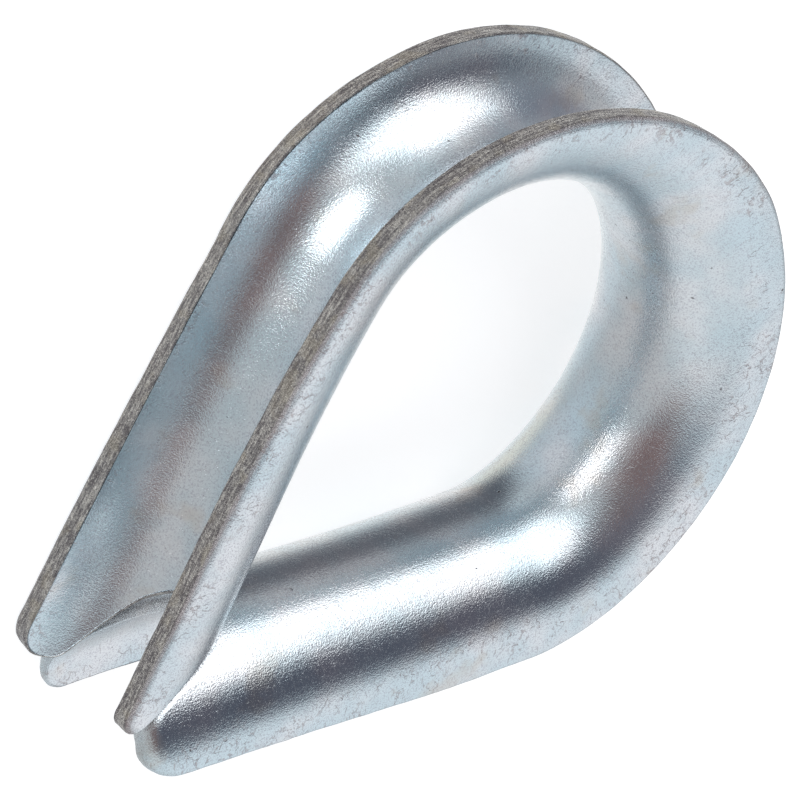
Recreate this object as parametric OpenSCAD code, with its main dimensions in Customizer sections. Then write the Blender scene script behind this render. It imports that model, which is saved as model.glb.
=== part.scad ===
// Wire rope thimble, pressed from one steel strip.
// The strip is rolled to a U section that opens outward, and bent round into a teardrop.
// Frame: the loop lies flat, +Z is the pin axis, +X points to the crown, and the tips lie
// towards -X. The origin is the centre of the crown arc, halfway across the strip.

/* [Strip] */
// Thickness of the steel strip
strip_t = 1.5; // [1.2:0.1:1.8]
// Clear width of the rope groove, which is also twice the radius of its round floor
groove_w = 9.4; // [8.4:0.2:10.4]
// Depth of the section, from the eye face to the flange rims
section_h = 7.3; // [7.1:0.1:9]

/* [Teardrop] */
// Radius of the eye round the crown
crown_r = 12.3; // [11.1:0.3:13.8]
// Half of the angle between the two straight legs
leg_half_angle = 33.5; // [29.5:1:36.5]

/* [Tips] */
// Gap between the two mitred strip ends, behind the eye
tip_gap = 0.5; // [0.3:0.1:1.2]
// Distance from the crown centre at which the blunt ends would cross the X axis
tip_reach = 30; // [28:0.2:31]

/* [Hidden] */
$fn = 96;

// Outer radius of the round floor, which is also half of the overall width
floor_r = groove_w / 2 + strip_t;
// Angle round the crown at which the bend ends and the +Y leg starts
bend_end = 90 + leg_half_angle;
// The leg starts this far inside the end of the crown bend, and its section is this much
// smaller all round, so that the two solids join without sharing a face
joint_overlap = 0.4;
joint_step = 0.02;
// Length of the straight leg before it is trimmed, and size of the blocks that trim it
leg_len = 60;
trim = 120;

// Closed end of a channel: round to the left of the floor's centre, straight to the right
module channel(radius) {
    translate([floor_r, 0])
        circle(r = radius);
    translate([floor_r, -radius])
        square([floor_r, 2 * radius]);
}

// U section of the strip. X is the distance outward from the eye face, Y runs across the
// strip, and inset takes that much off every side.
module strip_section(inset) {
    difference() {
        intersection() {
            channel(floor_r - inset);
            square([2 * (section_h - inset), trim], center = true);
        }
        channel(groove_w / 2 + inset);
    }
}

// Strip bent round the crown, from the start of one leg to the start of the other
module crown() {
    rotate_extrude(start = -bend_end, angle = 2 * bend_end)
        translate([crown_r, 0])
            strip_section(0);
}

// Straight +Y leg as it leaves the crown bend, before its end is cut
module leg_blank() {
    rotate([0, 0, bend_end])
        translate([crown_r, -joint_overlap, 0])
            rotate([-90, 0, 0])
                linear_extrude(height = leg_len)
                    strip_section(joint_step);
}

// Straight +Y leg, cut to its mitre along the X axis and square across its tip
module leg() {
    difference() {
        leg_blank();
        translate([-trim, tip_gap / 2 - trim, -trim / 2])
            cube([2 * trim, trim, trim]);
        translate([-tip_reach, 0, 0])
            rotate([0, 0, leg_half_angle])
                translate([-trim, -trim / 2, -trim / 2])
                    cube([trim, trim, trim]);
    }
}

module thimble() {
    color("silver")
        union() {
            crown();
            leg();
            mirror([0, 1, 0])
                leg();
        }
}

thimble();
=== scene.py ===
"""Wire rope thimble: the zinc-plated steel strip, swept as one closed mesh in the CAD frame."""

import math

import bpy
import numpy as np
from mathutils import Matrix, Quaternion, Vector


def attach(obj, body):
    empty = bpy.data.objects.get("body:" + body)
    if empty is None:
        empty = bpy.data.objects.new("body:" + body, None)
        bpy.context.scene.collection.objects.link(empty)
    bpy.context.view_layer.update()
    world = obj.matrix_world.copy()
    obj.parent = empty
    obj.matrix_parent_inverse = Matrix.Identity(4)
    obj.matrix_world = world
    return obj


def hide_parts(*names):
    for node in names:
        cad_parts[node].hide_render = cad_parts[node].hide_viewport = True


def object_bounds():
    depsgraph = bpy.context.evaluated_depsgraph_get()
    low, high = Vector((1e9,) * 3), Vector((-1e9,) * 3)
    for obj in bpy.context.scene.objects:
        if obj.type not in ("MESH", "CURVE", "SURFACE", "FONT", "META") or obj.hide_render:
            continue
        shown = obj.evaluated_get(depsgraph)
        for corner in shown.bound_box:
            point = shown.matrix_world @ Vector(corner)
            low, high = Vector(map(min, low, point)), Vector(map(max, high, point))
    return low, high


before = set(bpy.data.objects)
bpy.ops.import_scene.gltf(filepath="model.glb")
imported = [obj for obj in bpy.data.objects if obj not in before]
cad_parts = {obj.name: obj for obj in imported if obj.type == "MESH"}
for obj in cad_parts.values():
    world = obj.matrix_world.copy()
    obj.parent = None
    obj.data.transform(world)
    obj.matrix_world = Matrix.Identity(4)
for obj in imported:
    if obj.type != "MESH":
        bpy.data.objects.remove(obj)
cad_low, cad_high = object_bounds()

# ---------------------------------------------------------------- shape of the strip, in mm
MM = 0.001
CROWN_R = 12.0          # eye radius round the crown, over half a turn
FLANK_R = 7.5           # eye radius from there to the straight legs
LEG_UP = 27.2           # angle of the +Y leg to the X axis, degrees
LEG_DOWN = 31.8         # angle of the -Y leg
STRIP_T = 1.44          # strip thickness
HALF_W = 6.1            # outer radius of the round floor, and half of the overall width
DEPTH = 8.1             # depth of the section, before the waves below are added
TAPER = -2.17           # change of depth from the crown to the tips
SPAN = 50.0             # eye-face length from the crown to a tip

# Slow errors of rolling and bending, each as the sizes of four cosine waves along the strip
PLAN_WAVES = (-0.84, -0.34, 0.28, -0.57)
NEAR_DEPTH = (0.70, 0.96, -0.76, -0.07)
FAR_DEPTH = (1.15, 0.60, -0.69, 0.34)
NEAR_LEAN = (0.10, -0.21, -0.02, 0.26)
FAR_LEAN = (0.06, -0.02, 0.0, 0.0)

# Strip ends: cut to a mitre between the legs, and blunt at the tips
MITRE_Y = 2.65          # y of the mitre where it crosses the loop's middle plane, at MITRE_X
MITRE_X = -24.0
MITRE_TILT = 0.24       # the mitre leans this much in y for each mm of z
MITRE_SKEW = 0.08       # and it gains this much in y for each mm towards the tips
MITRE_GAP = 1.1         # gap between the two ends at the loop's middle plane
GAP_TILT = 0.15         # and what it gains for each mm of z
# Length at which each tip is cut blunt, and radius of its corner. Keys: +Y leg 1 or -Y leg -1,
# then near (+Z) face 1 or far face -1
BLUNT = {(1, 1): 49.6, (1, -1): 50.4, (-1, 1): 51.7, (-1, -1): 51.8}
BLUNT_BLEND = 1.2       # the mitre and the blunt cut run into each other over this length
CORNER_R = {(1, 1): 0.8, (1, -1): 1.6, (-1, 1): 2.2, (-1, -1): 1.4}
CORNER_FROM = 0.3       # the corners draw in the columns beyond this share of the width

# Sheared edge: rolled over on the eye side, crisp on the groove side
ROLL_R = 0.42
CRISP_R = 0.12
END_ROLL_R = {1: 0.5, -1: 1.1}      # rolling over of the cut ends, further on the -Y leg,
END_BARE = {1: 1.0, -1: 0.3}        # where the plate has run over the edge too
MITRE_ROLL = 0.15       # extra width of that rolling where the cut runs along the strip
SLOPE_LIMIT = 1.5       # steepest slope of the cut, along over across, that widens the rolling
SLOPE_SMOOTH = 6        # columns on each side over which that slope is evened out
EDGE_FADE = 2.0         # the faces give way to the rounding over this width
END_FADE = 5.0          # and to the rounding of the ends over this length

# Errors of the surface, each as its height and its lengths across and along the strip
SLOW_WAVE = (0.018, 4.5, 6.5)
QUICK_WAVE = (0.003, 1.7, 2.4)
RAGGED = (0.035, 2.5)   # slow unevenness of the sheared edge: height and length
RAGGED_FINE = (0.02, 0.5)
LAYER = 0.35            # thickness of the layers that the fine unevenness follows

# Mesh
ACROSS = 73             # columns from rim to rim
HALF_ARC = 150          # stations from the crown to the start of a leg
HALF_LEG = 170          # stations along a leg
LEG_START = 26.0        # length from the crown at which the leg's stations start
CROWDING = 0.4          # how far the columns crowd towards the rims, from 0 to 1

HALF_T = STRIP_T / 2
MID_R = HALF_W - HALF_T
QUARTER = MID_R * math.pi / 2       # width of the round floor, from its middle to a flange


def waves(s, sizes):
    """Sum of four cosine waves at eye-face lengths s."""
    turn = math.pi * (np.clip(s / SPAN, -1, 1) + 1) / 2
    return sum(size * np.cos(k * turn) for k, size in enumerate(sizes, 1))


def plan(s):
    """Eye-face points and outward directions in the XY plane at lengths s from the crown."""
    side = np.where(s < 0, -1.0, 1.0)
    length = np.abs(s)
    leg = np.radians(np.where(s < 0, LEG_DOWN, LEG_UP))
    quarter = CROWN_R * math.pi / 2
    angle = np.where(
        length < quarter,
        length / CROWN_R,
        math.pi / 2 + np.minimum((length - quarter) / FLANK_R, leg),
    )
    radius = np.where(length < quarter, CROWN_R, FLANK_R)
    start_y = np.where(length < quarter, 0.0, CROWN_R - FLANK_R)
    straight = np.maximum(length - quarter - FLANK_R * leg, 0)
    x = radius * np.cos(angle) - straight * np.sin(angle)
    y = start_y + radius * np.sin(angle) + straight * np.cos(angle)
    drift = waves(s, PLAN_WAVES)
    x = x + drift * np.cos(angle)
    y = y + drift * np.sin(angle)
    return x, side * y, np.cos(angle), side * np.sin(angle)


def place(u, s, d):
    """Points in mm at width u and length s on the strip's middle face, and d off it towards
    the groove."""
    width = np.abs(u)
    angle = np.minimum(width, QUARTER) / MID_R
    flat = np.maximum(width - QUARTER, 0)
    n = HALF_W - (MID_R - d) * np.cos(angle) + flat
    z = (MID_R - d) * np.sin(angle)
    lean = np.where(u < 0, waves(s, FAR_LEAN), waves(s, NEAR_LEAN))
    z = z + lean * np.clip(n / DEPTH, 0, 1.2)
    x, y, nx, ny = plan(s)
    return np.stack([x + nx * n, y + ny * n, np.where(u < 0, -z, z)], -1)


def rim(s, face):
    """Width u of the rim at lengths s, on the near (+Z) face for 1 or the far face for -1."""
    depth = DEPTH + TAPER * np.clip(np.abs(s) / SPAN, 0, 1)
    depth = depth + waves(s, NEAR_DEPTH if face > 0 else FAR_DEPTH)
    n = depth - HALF_W
    bent = MID_R * np.arccos(np.clip(-n / MID_R, 0, 1))
    return np.where(n > 0, QUARTER + n, bent)


def soft_min(a, b, width):
    """The smaller of a and b, with the corner between them rounded off."""
    return (a + b - np.sqrt((a - b) ** 2 + width ** 2)) / 2


def end_length(u, side):
    """Length from the crown at which the strip ends at width u, on the +Y side for 1."""
    face_blunt = np.where(u < 0, BLUNT[side, -1], BLUNT[side, 1])
    leg = math.radians(LEG_UP if side > 0 else LEG_DOWN)
    s = np.full_like(u, 0.9 * SPAN)
    for _ in range(12):     # each step leaves about a third of the error
        point = place(u, side * s, np.zeros_like(u))
        wall = MITRE_Y + MITRE_TILT * point[..., 2] + MITRE_SKEW * (MITRE_X - point[..., 0])
        if side < 0:
            wall = wall - MITRE_GAP - GAP_TILT * point[..., 2]
        over = side * (point[..., 1] - wall)
        s = np.clip(s + over / math.sin(leg), 0.6 * SPAN, 1.2 * SPAN)
    return soft_min(s, face_blunt, BLUNT_BLEND)


def outline():
    """Grid of widths u and lengths s that fills the strip's outline, ends and corners included."""
    p = np.linspace(-1, 1, ACROSS)
    p = (1 - CROWDING) * p + CROWDING * np.sin(p * math.pi / 2)
    arc = np.linspace(0, 1, HALF_ARC, endpoint=False)
    leg = np.sin(np.linspace(0, 1, HALF_LEG) * math.pi / 2)
    halves = []
    for side in (-1, 1):
        u = p * (QUARTER + 1)
        for _ in range(3):
            end = end_length(u, side)
            u = p * np.where(p < 0, rim(side * end, -1), rim(side * end, 1))
        s = np.concatenate([
            np.repeat(arc[:, None] * LEG_START, ACROSS, 1),
            LEG_START + leg[:, None] * (end - LEG_START),
        ])
        to_end = end - s
        reach = np.where(p < 0, rim(side * s, -1), rim(side * s, 1))
        corner = np.where(p < 0, CORNER_R[side, -1], CORNER_R[side, 1])
        tip = np.clip(1 - to_end / corner, 0, 1)
        cut = corner * (1 - np.sqrt(1 - tip ** 2))
        share = np.clip((np.abs(p) - CORNER_FROM) / (1 - CORNER_FROM), 0, 1)
        halves.append((p * reach - np.sign(p) * cut * share, side * s))
    return [np.concatenate([low[::-1], high[1:]]) for low, high in zip(*halves)]


def nearness(u, s):
    """How near each point is to the rim and to the end of the strip, from 0 to 1, and how much
    longer a step along the strip is than a step square to the cut."""
    width = np.where(u > 0, u[:, -1:], -u[:, :1])
    end = np.where(s < 0, -s[:1], s[-1:])
    window = np.bartlett(2 * SLOPE_SMOOTH + 1)
    window = window / window.sum()
    slopes = []
    for row, columns in ((-s[0], u[0]), (s[-1], u[-1])):
        slope = np.clip(np.abs(np.gradient(row, columns)), 0, SLOPE_LIMIT)
        slopes.append(np.convolve(np.pad(slope, SLOPE_SMOOTH, "edge"), window, "valid"))
    slope = np.where(s < 0, *slopes)
    near_rim = np.clip(1 - (width - np.abs(u)) / EDGE_FADE, 0, 1)
    near_end = np.clip(1 - (end - np.abs(s)) / END_FADE, 0, 1)
    return near_rim, near_end, np.sqrt(1 + slope ** 2) * (1 + MITRE_ROLL * slope)


def ring(grid):
    """The border of a grid, as one closed loop of its values."""
    return np.concatenate([grid[0, :-1], grid[:-1, -1], grid[-1, :0:-1], grid[:0:-1, 0]])


def lattice_noise(x, y, z, seed):
    """Smooth random values about -1 to 1, one feature to each unit of length."""
    rng = np.random.default_rng(seed)
    table = rng.uniform(-1, 1, 4096)
    total = 0
    base = [np.floor(v).astype(int) for v in (x, y, z)]
    part = [v - b for v, b in zip((x, y, z), base)]
    ease = [f * f * (3 - 2 * f) for f in part]
    for corner in range(8):
        step = [(corner >> k) & 1 for k in range(3)]
        weight = 1
        cell = 0
        for axis, prime in enumerate((73856093, 19349663, 83492791)):
            weight = weight * (ease[axis] if step[axis] else 1 - ease[axis])
            cell = cell ^ ((base[axis] + step[axis]) * prime)
        total = total + weight * table[cell % 4096]
    return total


def edge_loops(roll):
    """(inset, offset, bareness) of the loops round the sheared edge, from the groove face to the
    eye face, for one rolled-over radius."""
    loops = []
    for angle in np.radians([22.5, 45, 67.5, 90]):
        inset = CRISP_R * (1 - math.sin(angle))
        loops.append((inset, HALF_T - CRISP_R * (1 - math.cos(angle)), 1.0))
    for share in np.linspace(0, 1, 7)[1:]:
        loops.append((0.0, (HALF_T - CRISP_R) * (1 - share) + (roll - HALF_T) * share, 1.0))
    for angle in np.radians([15, 30, 45, 60, 75]):
        inset = roll * (1 - math.cos(angle))
        loops.append((inset, roll * (1 - math.sin(angle)) - HALF_T, math.cos(angle) ** 2))
    return loops


def waviness(u, s):
    """Slow hollows and swellings of a face, in mm along its normal."""
    height, across, along = SLOW_WAVE
    slow = height * lattice_noise(u / across, s / along, 0 * s, 3)
    height, across, along = QUICK_WAVE
    quick = height * lattice_noise(u / across, s / along, 0 * s + 5, 4)
    return slow + quick


def raggedness(u, s, offset):
    """How far the sheared edge is eaten in, in mm, at an offset through the thickness."""
    height, length = RAGGED_FINE
    fine = height * lattice_noise(s / length, u / length, offset / LAYER, 8)
    height, length = RAGGED
    slow = height * lattice_noise(s / length, u / length, 0 * s, 9)
    return fine + slow - RAGGED_FINE[0]


def strip_mesh():
    """Vertices in metres, quads, and for each vertex its bareness and its place (u, s, offset)."""
    u, s = outline()
    count = u.size
    index = np.arange(count).reshape(u.shape)
    points, bare, marks = [], [], []
    near_rim, near_end, stretch = nearness(u, s)
    end_roll = np.where(s < 0, END_ROLL_R[-1], END_ROLL_R[1])
    for offset, rim_r, end_r in ((HALF_T, CRISP_R, CRISP_R), (-HALF_T, ROLL_R, end_roll)):
        gu = u - np.sign(u) * rim_r * near_rim
        gs = s - np.sign(s) * end_r * near_end * stretch
        points.append(place(gu, gs, offset + waviness(gu, gs)).reshape(-1, 3))
        bare.append(np.zeros(count))
        marks.append(np.stack([gu, gs, np.full_like(gu, offset)], -1).reshape(-1, 3))

    u, s, near_rim, near_end, stretch = map(ring, (u, s, near_rim, near_end, stretch))
    end_bare = np.where(s < 0, END_BARE[-1], END_BARE[1])
    loops = [ring(index)]
    start = 2 * count
    for at_rim, *ends in zip(*map(edge_loops, (ROLL_R, END_ROLL_R[-1], END_ROLL_R[1]))):
        at_end = [np.where(s < 0, down, up) for down, up in zip(*ends)]
        offset = at_rim[1] + (at_end[1] - at_rim[1]) * near_end
        rough = raggedness(u, s, offset)
        ru = u - np.sign(u) * (at_rim[0] + rough) * near_rim
        rs = s - np.sign(s) * (at_end[0] + rough) * near_end * stretch
        points.append(place(ru, rs, offset + waviness(ru, rs)))
        bare.append(at_rim[2] * (1 - near_end) + at_end[2] * near_end * end_bare)
        marks.append(np.stack([ru, rs, offset], -1))
        loops.append(start + np.arange(len(ru)))
        start += len(ru)
    loops.append(ring(index) + count)

    corners = (index[:-1, :-1], index[1:, :-1], index[1:, 1:], index[:-1, 1:])
    grid_quads = np.stack(corners, -1).reshape(-1, 4)
    faces = [grid_quads, grid_quads[:, ::-1] + count]
    for one, two in zip(loops, loops[1:]):
        faces.append(np.stack([one, np.roll(one, -1), np.roll(two, -1), two], -1))
    return np.vstack(points) * MM, np.vstack(faces), np.concatenate(bare), np.vstack(marks)


verts, quads, bareness, marks = strip_mesh()
mesh = bpy.data.meshes.new("thimble_strip")
mesh.from_pydata(verts.tolist(), [], quads.tolist())
mesh.polygons.foreach_set("use_smooth", [True] * len(mesh.polygons))
for name, values in zip(("bare", "across", "along", "level"), (bareness, *marks.T)):
    layer = mesh.attributes.new(name, "FLOAT", "POINT")
    layer.data.foreach_set("value", values.astype(np.float32))
mesh.validate()
mesh.update()
strip = bpy.data.objects.new("thimble_strip", mesh)
bpy.context.scene.collection.objects.link(strip)
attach(strip, "root")
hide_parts("thimble")

# ---------------------------------------------------------------- zinc plate
mat = bpy.data.materials.new("zinc_plate")
mat.use_nodes = True
nodes, links = mat.node_tree.nodes, mat.node_tree.links
shader = nodes["Principled BSDF"]
mesh.materials.append(mat)


def put(value, socket):
    """Links a socket, or sets it to a plain value."""
    if isinstance(value, bpy.types.NodeSocket):
        links.new(value, socket)
    else:
        socket.default_value = value


def attribute(name):
    node = nodes.new("ShaderNodeAttribute")
    node.attribute_name = name
    return node.outputs["Fac"]


def vector(x, y, z):
    node = nodes.new("ShaderNodeCombineXYZ")
    for socket, value in zip(node.inputs, (x, y, z)):
        put(value, socket)
    return node.outputs["Vector"]


def maths(operation, a, b=0.0, c=0.0):
    node = nodes.new("ShaderNodeMath")
    node.operation = operation
    for socket, value in zip(node.inputs, (a, b, c)):
        put(value, socket)
    return node.outputs["Value"]


def on_strip(widths, lengths, layer):
    """Place on the unrolled strip, with this many units to each mm across and along it."""
    return vector(maths("MULTIPLY", across, widths), maths("MULTIPLY", along, lengths), layer)


def noise(place_at, scale, detail=3.0, roughness=0.55, output="Fac"):
    node = nodes.new("ShaderNodeTexNoise")
    put(place_at, node.inputs["Vector"])
    node.inputs["Scale"].default_value = scale
    node.inputs["Detail"].default_value = detail
    node.inputs["Roughness"].default_value = roughness
    return node.outputs[output]


def ramp(value, low, high, out_low=0.0, out_high=1.0):
    """Smooth step of a value from low to high."""
    node = nodes.new("ShaderNodeMapRange")
    node.interpolation_type = "SMOOTHSTEP"
    put(value, node.inputs["Value"])
    node.inputs["From Min"].default_value = low
    node.inputs["From Max"].default_value = high
    node.inputs["To Min"].default_value = out_low
    node.inputs["To Max"].default_value = out_high
    return node.outputs["Result"]


def blend(factor, a, b):
    node = nodes.new("ShaderNodeMix")
    node.data_type = "RGBA"
    put(factor, node.inputs["Factor"])
    for name, value in (("A", a), ("B", b)):
        if isinstance(value, tuple):
            node.inputs[name].default_value = (*value, 1)
        else:
            links.new(value, node.inputs[name])
    return node.outputs["Result"]


def bump(height, distance, normal=None):
    node = nodes.new("ShaderNodeBump")
    put(height, node.inputs["Height"])
    node.inputs["Distance"].default_value = distance
    node.inputs["Strength"].default_value = 1.0
    if normal is not None:
        links.new(normal, node.inputs["Normal"])
    return node.outputs["Normal"]


geometry = nodes.new("ShaderNodeNewGeometry")
in_mm = nodes.new("ShaderNodeVectorMath")
in_mm.operation = "SCALE"
links.new(geometry.outputs["Position"], in_mm.inputs[0])
in_mm.inputs["Scale"].default_value = 1 / MM
point = in_mm.outputs["Vector"]
across, along, bare = attribute("across"), attribute("along"), attribute("bare")

cloud = noise(point, 0.16, 2)
patch = noise(point, 0.7, 3, 0.5)
grain = noise(point, 8.5, 2, 0.6)
fine = noise(point, 14.0, 1, 0.6)
flange = ramp(maths("ABSOLUTE", across), 6.4, 8.0)
leg = ramp(maths("ABSOLUTE", along), 22.0, 30.0)
lengthwise = noise(on_strip(7.0, 0.3, 0.0), 1.0, 3)
crosswise = noise(on_strip(0.12, 2.6, 3.0), 1.0, 2)

# Plate: pale, with faint blue-green and darker clouds, and fine dark grain
zinc = blend(ramp(cloud, 0.36, 0.64), (0.60, 0.71, 0.76), (0.76, 0.78, 0.80))
zinc = blend(ramp(patch, 0.4, 0.7, 0.0, 0.3), zinc, (0.56, 0.67, 0.71))
speck = ramp(grain, 0.5, 0.64)
zinc = blend(maths("MULTIPLY", speck, 0.42), zinc, (0.40, 0.38, 0.45))
zinc = blend(ramp(fine, 0.56, 0.7, 0.0, 0.3), zinc, (0.40, 0.38, 0.42))

# Crazing and short cross strokes, mostly on the flanges, where the bend has stretched the plate
bent = nodes.new("ShaderNodeVectorMath")
bent.operation = "MULTIPLY_ADD"
links.new(noise(point, 1.6, 4, 0.5, "Color"), bent.inputs[0])
bent.inputs[1].default_value = (1.8, 1.8, 0)
links.new(on_strip(1.1, 1.6, 0.0), bent.inputs[2])
crack = nodes.new("ShaderNodeTexVoronoi")
crack.feature = "DISTANCE_TO_EDGE"
links.new(bent.outputs["Vector"], crack.inputs["Vector"])
crack.inputs["Scale"].default_value = 1.0
craze = ramp(crack.outputs["Distance"], 0.015, 0.06, 1.0, 0.0)
craze = maths("MULTIPLY", craze, ramp(noise(point, 0.4, 3), 0.42, 0.58))
craze = maths("MULTIPLY", craze, ramp(noise(point, 2.2, 2), 0.44, 0.56))
stroke = ramp(noise(on_strip(1.2, 7.0, 5.0), 1.0, 2), 0.60, 0.70)
stroke = maths("MULTIPLY", stroke, ramp(noise(point, 0.6, 2), 0.42, 0.6))
hair = maths("MULTIPLY", maths("MAXIMUM", craze, stroke), ramp(flange, 0.0, 1.0, 0.3, 1.0))
zinc = blend(maths("MULTIPLY", hair, 0.5), zinc, (0.37, 0.29, 0.29))
pit = ramp(noise(point, 2.6, 0), 0.87, 0.89)
zinc = blend(maths("MULTIPLY", pit, 0.8), zinc, (0.16, 0.14, 0.15))
stain = ramp(noise(point, 0.25, 3, 0.6), 0.58, 0.72)
zinc = blend(maths("MULTIPLY", stain, 0.3), zinc, (0.58, 0.48, 0.38))

# Sheared edge: bare, dark and coarse, with a brown line of painted shade where the bare edge gives
# way to the plate
streak = vector(maths("MULTIPLY", attribute("level"), 8.0), maths("MULTIPLY", along, 0.9), across)
speckle = maths("MULTIPLY", noise(point, 7.0, 3, 0.7), 0.4)
shear = maths("MULTIPLY_ADD", noise(streak, 1.0, 4, 0.7), 0.6, speckle)
bare_colour = blend(ramp(shear, 0.42, 0.62), (0.16, 0.14, 0.145), (0.70, 0.67, 0.62))
bare_colour = blend(ramp(patch, 0.52, 0.66, 0.0, 0.35), bare_colour, (0.55, 0.48, 0.36))
# Painted shade: a dark brown band across the middle of the rolled-over edge, between the bare edge
# and the plated face
painted_shade_band = maths("MULTIPLY", ramp(bare, 0.3, 0.6), ramp(bare, 0.8, 0.98, 1.0, 0.0))
colour = blend(maths("MULTIPLY", ramp(bare, 0.72, 0.96), 0.92), zinc, bare_colour)
# Lays that painted shade over the colour along the rolled-over edge
colour = blend(maths("MULTIPLY", painted_shade_band, 0.5), colour, (0.30, 0.22, 0.21))
links.new(colour, shader.inputs["Base Color"])
shader.inputs["Metallic"].default_value = 1

# Gloss: satin, duller in the grain, in the crazing and on the bare edge
rough = maths("ADD", ramp(patch, 0.3, 0.7, 0.10, 0.15), ramp(grain, 0.5, 0.62, 0.0, 0.13))
rough = maths("ADD", rough, maths("MULTIPLY", bare, 0.12))
rough = maths("ADD", rough, maths("MULTIPLY", hair, 0.12))
links.new(rough, shader.inputs["Roughness"])

# Relief: grain, rolling lines along the strip, ridges across the flanges of the legs, crazing
# and pits, and a coarser one on the bare edge
height = maths("ADD", maths("MULTIPLY", grain, 0.75), maths("MULTIPLY", fine, 0.55))
height = maths("ADD", height, maths("MULTIPLY", lengthwise, 0.25))
ridges = maths("MULTIPLY", crosswise, ramp(maths("MULTIPLY", flange, leg), 0.0, 1.0, 0.05, 0.8))
height = maths("ADD", height, ridges)
height = maths("SUBTRACT", height, maths("MULTIPLY", hair, 0.5))
height = maths("SUBTRACT", height, maths("MULTIPLY", pit, 1.5))
normal = bump(height, 0.02 * MM)
coarse = maths("MULTIPLY", noise(point, 3.5, 5, 0.75), bare)
normal = bump(coarse, 0.25 * MM, normal)
links.new(normal, shader.inputs["Normal"])

# ---------------------------------------------------------------- floor
FLOOR_HALF = 1.2        # half of its side, m
floor_z = float(cad_low[2])
floor_corners = [(-1, -1), (1, -1), (1, 1), (-1, 1)]
floor_verts = [(x * FLOOR_HALF, y * FLOOR_HALF, floor_z) for x, y in floor_corners]
floor_mesh = bpy.data.meshes.new("floor")
floor_mesh.from_pydata(floor_verts, [], [(0, 1, 2, 3)])
floor = bpy.data.objects.new("floor", floor_mesh)
bpy.context.scene.collection.objects.link(floor)
floor.visible_glossy = False
floor_mat = bpy.data.materials.new("pale_floor")
floor_mat.use_nodes = True
floor_shader = floor_mat.node_tree.nodes["Principled BSDF"]
floor_shader.inputs["Base Color"].default_value = (0.92, 0.92, 0.92, 1)
floor_shader.inputs["Roughness"].default_value = 0.9
floor_shader.inputs["Emission Color"].default_value = (1, 1, 1, 1)
floor_shader.inputs["Emission Strength"].default_value = 0.6
floor_mesh.materials.append(floor_mat)

# ---------------------------------------------------------------- light
def direction(azimuth, elevation):
    """Unit vector at these angles: azimuth from +X towards +Y, elevation above the floor."""
    a, e = math.radians(azimuth), math.radians(elevation)
    return Vector((math.cos(e) * math.cos(a), math.cos(e) * math.sin(a), math.sin(e)))


# Surroundings: one grey, with soft round zones over it that the plate mirrors. Each zone:
# azimuth, elevation, angle of the full zone, angle of its outer edge, colour
SURROUND = (0.58, 0.59, 0.60)
ZONES = [
    (-130, 45, 30, 62, (0.85, 0.88, 0.90)),
    (-100, -48, 22, 48, (0.84, 0.86, 0.88)),
    (-68, -45, 10, 28, (1.05, 1.06, 1.06)),
    (-20, -76, 8, 22, (1.02, 0.93, 0.82)),
    (100, -42, 16, 40, (0.66, 0.70, 0.74)),
    (40, -8, 10, 24, (0.78, 0.81, 0.83)),
    (2, -12, 6, 22, (0.42, 0.42, 0.45)),
    (-18, 10, 13, 28, (0.26, 0.26, 0.30)),
    (18, -45, 14, 30, (0.15, 0.15, 0.17)),
    (20, 82, 18, 32, (0.18, 0.18, 0.21)),
    (-26, 57, 12, 31, (0.11, 0.11, 0.14)),
    (124, 58, 12, 31, (0.22, 0.16, 0.16)),
    (-85, 34, 12, 28, (0.94, 0.96, 0.99)),
]
LIGHT_DISTANCE = 0.6    # m
# Each softbox: azimuth, elevation, half width, half height and roll in degrees, radiance
SOFTBOXES = [
    (34, 28, 23, 27, -24, 1.45),
    (99, 3, 19, 16, 0, 2.5),
]

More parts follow.
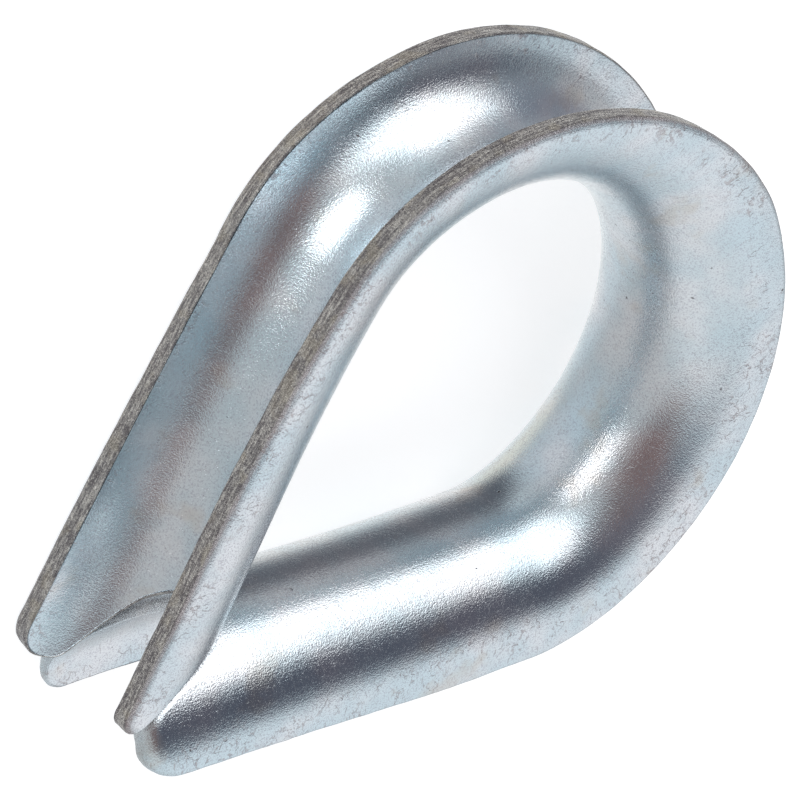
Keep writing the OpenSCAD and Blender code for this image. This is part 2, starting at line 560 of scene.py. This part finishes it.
world = bpy.data.worlds.new("studio")
bpy.context.scene.world = world
world.use_nodes = True
nodes, links = world.node_tree.nodes, world.node_tree.links
sky = nodes.new("ShaderNodeTexCoord").outputs["Generated"]
colour = SURROUND
for azimuth, elevation, full, outer, tint in ZONES:
    dot = nodes.new("ShaderNodeVectorMath")
    dot.operation = "DOT_PRODUCT"
    dot.inputs[1].default_value = direction(azimuth, elevation)
    links.new(sky, dot.inputs[0])
    full_cosine, outer_cosine = math.cos(math.radians(full)), math.cos(math.radians(outer))
    colour = blend(ramp(dot.outputs["Value"], outer_cosine, full_cosine), colour, tint)
links.new(colour, nodes["Background"].inputs["Color"])
nodes["Background"].inputs["Strength"].default_value = 1.0

for number, (azimuth, elevation, wide, high, roll, radiance) in enumerate(SOFTBOXES):
    light = bpy.data.lights.new(f"softbox_{number}", "AREA")
    light.shape = "RECTANGLE"
    light.size = 2 * LIGHT_DISTANCE * math.tan(math.radians(wide))
    light.size_y = 2 * LIGHT_DISTANCE * math.tan(math.radians(high))
    light.energy = radiance * math.pi * light.size * light.size_y
    lamp = bpy.data.objects.new(f"softbox_{number}", light)
    bpy.context.scene.collection.objects.link(lamp)
    lamp.location = direction(azimuth, elevation) * LIGHT_DISTANCE
    aim = direction(azimuth, elevation).to_track_quat("Z", "Y")
    lamp.rotation_euler = (aim @ Quaternion((0, 0, 1), math.radians(roll))).to_euler()
bpy.context.scene.view_settings.view_transform = "Standard"

# ---------------------------------------------------------------- camera
AZIMUTH = 103.48        # degrees from +X towards +Y, of the camera as seen from the target
ELEVATION = 39.38
ROLL = 128.15
DISTANCE = 168.2        # mm
TARGET = Vector((-4.38, 0.67, -2.04))
LENS = 128.4
SHIFT = (0.0023, -0.0133)

out = direction(AZIMUTH, ELEVATION)
camera_data = bpy.data.cameras.new("camera")
camera = bpy.data.objects.new("camera", camera_data)
bpy.context.scene.collection.objects.link(camera)
look = (-out).to_track_quat("-Z", "Y").to_matrix().to_4x4()
spin = Matrix.Rotation(math.radians(ROLL), 4, "Z")
camera.matrix_world = Matrix.Translation((TARGET + out * DISTANCE) * MM) @ look @ spin
camera_data.lens = LENS
camera_data.sensor_width = 36
camera_data.shift_x, camera_data.shift_y = SHIFT
camera_data.clip_start = 0.01
bpy.context.scene.camera = camera
